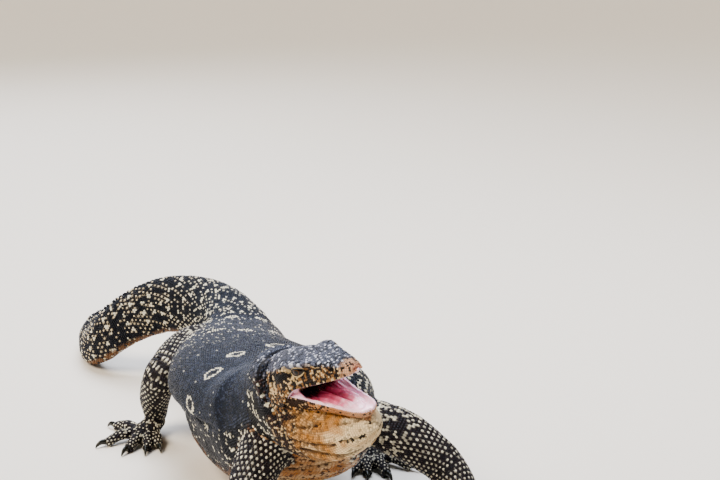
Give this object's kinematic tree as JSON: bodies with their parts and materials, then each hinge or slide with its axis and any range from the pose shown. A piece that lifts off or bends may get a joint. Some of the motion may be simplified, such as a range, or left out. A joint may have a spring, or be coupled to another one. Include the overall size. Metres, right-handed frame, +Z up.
{
  "type": "water monitor lizard",
  "caption": "Water monitor lizard standing with its head raised and turned, its mouth wide open, its throat swollen and its tail curved behind it.",
  "frame": {"origin": "on the floor, under the middle of the whole animal's bounding box", "axes": "+Z is up, the head is towards -Y and the tail towards +Y, and +X is the animal's left"},
  "size_m": [0.4568, 1.2292, 0.286],
  "materials": {
    "dark_skin": "blue-black scaly skin with rows of pale rings and dots, satin",
    "throat_skin": "orange-yellow throat and neck skin with dark broken bands, satin",
    "mouth_lining": "moist pink mouth lining",
    "claw_horn": "dark polished claw horn",
    "eye": "dark wet eye with a brown iris"
  },
  "bodies": {
    "root": {"claw_foot_left_1": "claw_horn", "claw_foot_left_2": "claw_horn", "claw_foot_left_3": "claw_horn", "claw_foot_left_4": "claw_horn", "claw_foot_left_5": "claw_horn", "claw_foot_right_1": "claw_horn", "claw_foot_right_2": "claw_horn", "claw_foot_right_3": "claw_horn", "claw_foot_right_4": "claw_horn", "claw_foot_right_5": "claw_horn", "claw_hand_left_1": "claw_horn", "claw_hand_left_2": "claw_horn", "claw_hand_left_3": "claw_horn", "claw_hand_left_4": "claw_horn", "claw_hand_left_5": "claw_horn", "claw_hand_right_1": "claw_horn", "claw_hand_right_2": "claw_horn", "claw_hand_right_3": "claw_horn", "claw_hand_right_4": "claw_horn", "claw_hand_right_5": "claw_horn", "eye_left": "eye", "eye_right": "eye", "foot_left": "dark_skin", "foot_right": "dark_skin", "forearm_left": "dark_skin", "forearm_right": "dark_skin", "hand_left": "dark_skin", "hand_right": "dark_skin", "head": "dark_skin", "lower_jaw": "throat_skin", "mouth_floor": "mouth_lining", "neck": "throat_skin", "shank_left": "dark_skin", "shank_right": "dark_skin", "tail_1": "dark_skin", "tail_2": "dark_skin", "tail_3": "dark_skin", "tail_4": "dark_skin", "tail_5": "dark_skin", "thigh_left": "dark_skin", "thigh_right": "dark_skin", "torso": "dark_skin", "upper_arm_left": "dark_skin", "upper_arm_right": "dark_skin"}
  },
  "joints": []
}
